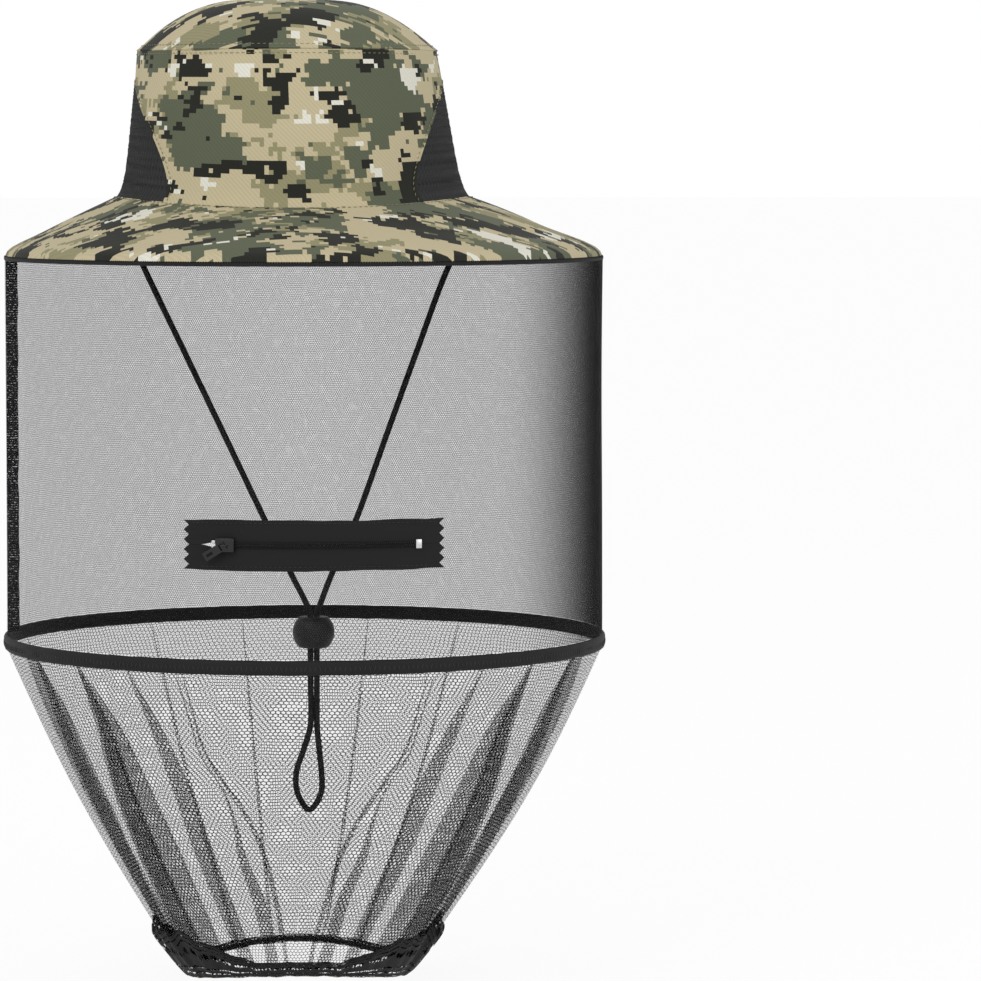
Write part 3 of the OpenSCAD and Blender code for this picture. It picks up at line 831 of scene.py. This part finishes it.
# Each fold's layers of net, then its two edges as angles off the front at shares of the
# skirt's height. It starts as a point and stays folded down to the hem.
FRONT_FOLDS = [
    (3, [(0, 66, 61), (0.15, 70, 58), (0.5, 71.5, 58), (0.8, 72, 64), (1, 74, 67)]),
    (5, [(0, 47.6, 47.5), (0.2, 48.5, 45), (0.41, 52.5, 45.6), (0.61, 55.5, 46), (1, 62, 48)]),
    (3, [(0, 47.4, 47.3), (0.2, 44.9, 41), (0.41, 45.5, 38.5), (0.61, 45.9, 36.5),
         (1, 47, 35)]),
    (3, [(0, 35, 34.9), (0.17, 33.5, 31), (0.39, 32, 27), (0.6, 31.5, 25.5), (1, 27.5, 21)]),
    (3, [(0, 24.6, 24.5), (0.28, 23.1, 23), (0.37, 18.8, 18.7), (0.5, 17.6, 16.8),
         (0.61, 18.5, 16), (0.74, 16, 12), (1, 14.5, 9)]),
    (3, [(0, 23.2, 23.1), (0.25, 22.4, 22.1), (0.37, 18.3, 17.3), (0.48, 13.8, 12.8),
         (0.61, 10.8, 9.6), (0.74, 9.2, 7.8), (1, 6, 4)]),
]
BACK_FOLDS = [  # as angles off the back
    (3, [(0, 72, 71.9), (0.5, 78, 70), (1, 84, 70)]),
    (3, [(0, 33, 32.9), (1, 34, 32.6)]),
    (3, [(0, 13, 12.9), (1, 14, 12.8)]),
]
EASE = 0.04  # the edges curve over this share of the height
FOLD_STEPS = 6
FLAT_STEPS = 10


def hem_sag(point, s):
    """A point of the skirt or hem, moved as the hem hangs."""
    droop = HEM_HANG + HEM_DROOP * cos(2 * atan2(point.y, point.x))
    return Vector((point.x - HEM_DRIFT * s * s, point.y, point.z - droop * s ** 3))


def skirt_radius(s):
    return HOOP_R + (SKIRT_END_R - HOOP_R) * s + SKIRT_BOW * sin(pi * s)


def fold_edge(stations, side, s):
    """The angle of a fold's outer (1) or inner (2) edge, eased between its stations."""
    total = 0
    for shift in (-EASE, 0, EASE):
        here = min(1, max(0, s + shift))
        for low, high in zip(stations, stations[1:]):
            if here <= high[0]:
                break
        share = (here - low[0]) / (high[0] - low[0])
        total += low[side] + (high[side] - low[side]) * share
    return total / 3


def skirt_folds(s):
    """Every fold at a share s of the height, round from the back, as (start, end, layers)."""
    folds = []
    for layers, stations in FRONT_FOLDS:
        outer, inner = fold_edge(stations, 1, s), fold_edge(stations, 2, s)
        folds += [(-outer, -inner, layers), (inner, outer, layers)]
    for layers, stations in BACK_FOLDS:
        outer, inner = fold_edge(stations, 1, s), fold_edge(stations, 2, s)
        folds += [(inner - 180, outer - 180, layers), (180 - outer, 180 - inner, layers)]
    return sorted(folds)


def skirt_points(s):
    """The skirt's columns at a share s of its height, as (angle, layer offset) pairs."""
    points, here = [], -180.0
    for start, end, layers in skirt_folds(s):
        points += [(here + (start - here) * i / FLAT_STEPS, 0.0) for i in range(FLAT_STEPS)]
        for layer in range(layers):
            for i in range(FOLD_STEPS + 1):
                t = i / FOLD_STEPS if layer % 2 == 0 else 1 - i / FOLD_STEPS
                points.append((start + (end - start) * t, -layer * LAYER_GAP))
        here = end
    points += [(here + (180 - here) * i / FLAT_STEPS, 0.0) for i in range(FLAT_STEPS)]
    return points + [(180.0, 0.0)]


def net_skirt():
    """The gathered skirt: deep folds that start as points at the hoop and widen downwards."""
    rows = []
    for j in range(SKIRT_ROWS + 1):
        s = 1 - j / SKIRT_ROWS
        radius = skirt_radius(s)
        z = SKIRT_TOP - SKIRT_H * s
        row, length = [], [0.0]
        for angle, depth in skirt_points(s):
            point = round_about(radius, angle, z)
            gather = max(0, (s - 0.8) / 0.2)
            drape = 3 * MM * sin(pi * s) ** 0.7 * wander((angle, s * 12, 3), 22, 2)
            crumple = 1.7 * MM * gather ** 1.5 * wander((angle, s * 60, 1), 3.2, 6)
            out = outwards(point)
            point += out * (depth * min(1, s * 6) + drape + crumple)
            point += out.cross(UP) * (1.3 * MM * gather * wander((angle, s * 40, 9), 3.6, 4))
            point = hem_sag(point, s)
            row.append(point)
        for a, b in zip(row, row[1:]):
            length.append(length[-1] + (b - a).length)
        total = length[-1]
        rows.append((row, [part / total * SKIRT_FLAT_W for part in length]))
    last = len(rows[0][0]) - 1

    def at(u, v):
        return rows[round(v * SKIRT_ROWS)][0][round(u * last)]

    def spread(u, v):
        j = round(v * SKIRT_ROWS)
        return (rows[j][1][round(u * last)], v * SKIRT_SLANT)

    return piece(sheet(last, SKIRT_ROWS, at, spread, closed=True), "net_skirt", "hoop",
                 COARSE_NET, ["skirt"], shell=0.3 * MM, sharp=180)


SKIRT_SLANT = round(hypot(SKIRT_H, HOOP_R - SKIRT_END_R), 3)
skirt = net_skirt()
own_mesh(skirt)


def bunched(radius, angle, z):
    """A point of the hem, bunched up as the elastic draws it in, and higher at the sides."""
    off = abs(angle)
    front = min(1, max(0, (125 - off) / 25))
    share = front * min(1, max(0, (off - 20) / 35))
    height = (z - HEM_LOW) * (0.8 + 0.9 * front + 3.6 * share)
    point = round_about(radius - HEM_TUCK + HEM_SLOPE * height, angle, HEM_LOW + height)
    point += outwards(point) * (1.1 * MM * wander((angle, 5, 2), 4.5, 1))
    point.z += (0.5 + 0.25 * height / MM * share) * MM * wander((angle, 3, 7), 5, 3)
    return hem_sag(point, 1)


def hem_gathers():
    """The hem's narrow casing, bunched up by the elastic inside it."""
    section = stadium(3 * MM, 5.2 * MM, HEM_LOW + 2.6 * MM, HEM_R, steps=7)
    return piece(band(section, 420, bunched, uv_pitch=1.6 * MM), "hem_gathers", "hem",
                 HEM_NET, ["hem_casing"])


def hem_elastic():
    """The elastic along the hem's bottom edge."""
    def shape(radius, angle, z):
        point = round_about(radius - HEM_TUCK + HEM_SLOPE * (z - HEM_LOW), angle, z)
        point += outwards(point) * (1.1 * MM * wander((angle, 5, 2), 4.5, 1))
        return hem_sag(point, 1)

    section = stadium(1.0 * MM, 1.6 * MM, HEM_LOW + 1.4 * MM, HEM_R, steps=3)
    return piece(band(section, 420, shape),
                 "hem_elastic_band", "hem", ELASTIC, ["hem_elastic"])


hem_gathers()
hem_elastic()

# ---- Mouth zip --------------------------------------------------------------------------------

PINK_DEPTH = 3 * MM
PINK_POINTS = 2.5  # points on the cut end of each tape
TAPE_EDGE = 0.05 * MM  # distance from the zip's middle to each tape's inner edge
TAPE_PART = 1.1 * MM  # and how far each is drawn off it just left of the slider
TAPE_SAG = 0.8 * MM  # the lower tape sags by this in the middle
TAPE_ROWS = 10
PARTED_AT, PARTED_HALF = SLIDER_AT - 2.6, 1.9


def zip_tape(side):
    """One tape, cut with pinking shears at both ends."""
    near = ZIP_Z + side * TAPE_EDGE
    far = ZIP_HIGH if side > 0 else ZIP_LOW
    low, high = min(near, far), max(near, far)

    def at(u, v):
        z = low + (high - low) * v
        height = (z - ZIP_LOW) / (ZIP_HIGH - ZIP_LOW) * PINK_POINTS * 2
        bite = abs((height - floor(height)) * 2 - 1)
        inset = PINK_DEPTH * (1 - bite) / TAPE_R * 180 / pi
        left, right = ZIP_LEFT + inset, ZIP_RIGHT - inset
        angle = left + (right - left) * u
        edge = abs(z - ZIP_Z) / (ZIP_HIGH - ZIP_Z)
        z += side * 0.5 * MM * edge ** 3 * wander((angle, side, 0), 5, 3)
        end = min(1, min(u, 1 - u) * 12)
        lift = 0.35 * MM * wander((angle, z * 300, 0), 6, 2) * edge + 0.6 * MM * (1 - end)
        parted = max(0, 1 - abs(angle - PARTED_AT) / PARTED_HALF)
        z += side * TAPE_PART * parted * (1 - edge)
        z -= TAPE_SAG * sin(pi * u) * edge * (side < 0)
        return round_about(TAPE_R + TAPE_T + lift, angle, z)

    bm = sheet(120, TAPE_ROWS, at, lambda u, v: (u * 0.14, v * 0.012))
    name = "zip_tape_top" if side > 0 else "zip_tape_bottom"
    node = "zip_tape_upper" if side > 0 else "zip_tape_lower"
    return piece(bm, name, "mouth_zip", TAPE, [node], shell=TAPE_T)


for side in (-1, 1):
    zip_tape(side)

TOOTH_PITCH = 1.05 * MM
chain_from = SLIDER_AT - degrees(5.3 * MM / COIL_R)
chain_to = STOP_AT - degrees(1.7 * MM / COIL_R)
for side, name, node in ((1, "zip_teeth_top", "zip_coil_upper"),
                         (-1, "zip_teeth_bottom", "zip_coil_lower")):
    step = degrees(TOOTH_PITCH / COIL_R)
    teeth, angle = [], chain_from + (step / 2 if side > 0 else step)
    while angle < chain_to:
        spot = round_about(COIL_R, angle, ZIP_Z + side * 0.62 * MM)
        teeth.append((spot, UP, outwards(spot)))
        angle += step
    made = threads(name, teeth, (2.0 * MM, 0.75 * MM, 1.5 * MM), "mouth_zip",
                   TEETH)
    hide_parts(node)

tape_rows = []
for side in (-1, 1):
    edge = ZIP_Z + side * (ZIP_HIGH - ZIP_Z - 1.6 * MM)
    line = [round_about(TAPE_R + TAPE_T + 0.2 * MM, a, edge)
            for a in range(int(ZIP_LEFT) + 1, int(ZIP_RIGHT))]
    tape_rows += along_line(line, 2.6 * MM, outwards)
threads("zip_stitching", tape_rows, (1.9 * MM, 0.4 * MM, 0.4 * MM), "mouth_zip",
        THREAD)

softened("zip_bottom_stop", "zip_end_stop", "mouth_zip", ALUMINIUM,
         edge=0.3 * MM)
softened("zip_top_stops", "zip_start_stops", "mouth_zip", ALUMINIUM,
         edge=0.2 * MM)
softened("slider_body", "zip_slider_body", "slider", ENAMEL, edge=0.25 * MM)
softened("slider_pull", "zip_slider_pull", "pull", ENAMEL, edge=0.15 * MM)

# ---- CAD pieces that stay as they are -----------------------------------------------------------

for node in ("hoop_wire", "hoop_ferrule"):
    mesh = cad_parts[node].data
    mesh.materials.clear()
    mesh.materials.append(STEEL)

# ---- Floor, light and world -----------------------------------------------------------------------


def pale_floor():
    """A pale floor that looks white but keeps the object's soft shadow."""
    bm = bmesh.new()
    bmesh.ops.create_grid(bm, x_segments=1, y_segments=1, size=40,
                          matrix=Matrix.Translation((0, 0, FLOOR_Z - HEM_DROOP - HEM_HANG - 1 * MM)))
    mesh = bpy.data.meshes.new("floor")
    bm.to_mesh(mesh)
    bm.free()
    made = bpy.data.objects.new("floor", mesh)
    bpy.context.collection.objects.link(made)
    look, tree, shader = material("matt_white_paint", "#f4f4f4", 0.9)
    rays = tree.nodes.new("ShaderNodeLightPath")
    seen = add(tree, "Math", {0: rays.outputs["Is Camera Ray"],
                              1: rays.outputs["Is Glossy Ray"]}, operation="MAXIMUM")
    seen = add(tree, "Math", {0: seen, 1: rays.outputs["Is Transmission Ray"]},
               operation="MAXIMUM")
    share = add(tree, "Math", {0: seen, 1: 0.9}, operation="MULTIPLY")
    glow = add(tree, "Emission", {"Color": (1, 1, 1, 1), "Strength": 1.02})
    mixed = add(tree, "MixShader", {0: share, 1: shader.outputs[0], 2: glow})
    tree.links.new(mixed, tree.nodes["Material Output"].inputs["Surface"])
    mesh.materials.append(look)


pale_floor()


def lamp(name, place, aim, size, power):
    light = bpy.data.lights.new(name, "AREA")
    light.size = size
    light.energy = power
    made = bpy.data.objects.new(name, light)
    made.location = place
    made.rotation_euler = (Vector(aim) - Vector(place)).to_track_quat("-Z", "Y").to_euler()
    bpy.context.collection.objects.link(made)


lamp("key_softbox", (-1.6, -2.6, 2.2), (0, 0, -0.1), 1.8, 40)
lamp("fill_softbox", (2.4, -2.0, 0.9), (0, 0, -0.1), 1.8, 16)

world = bpy.data.worlds.new("studio")
bpy.context.scene.world = world
world.use_nodes = True
tree = world.node_tree
rays = tree.nodes.new("ShaderNodeLightPath")
seen = add(tree, "Math", {0: rays.outputs["Is Camera Ray"],
                          1: rays.outputs["Is Glossy Ray"]}, operation="MAXIMUM")
seen = add(tree, "Math", {0: seen, 1: rays.outputs["Is Transmission Ray"]},
           operation="MAXIMUM")
strength = add(tree, "MapRange", {"Value": seen, "To Min": 0.6, "To Max": 1.0})
tree.links.new(strength, tree.nodes["Background"].inputs["Strength"])
tree.nodes["Background"].inputs["Color"].default_value = (1, 1, 1, 1)

scene = bpy.context.scene
scene.view_settings.view_transform = "Standard"
scene.cycles.transparent_max_bounces = 64
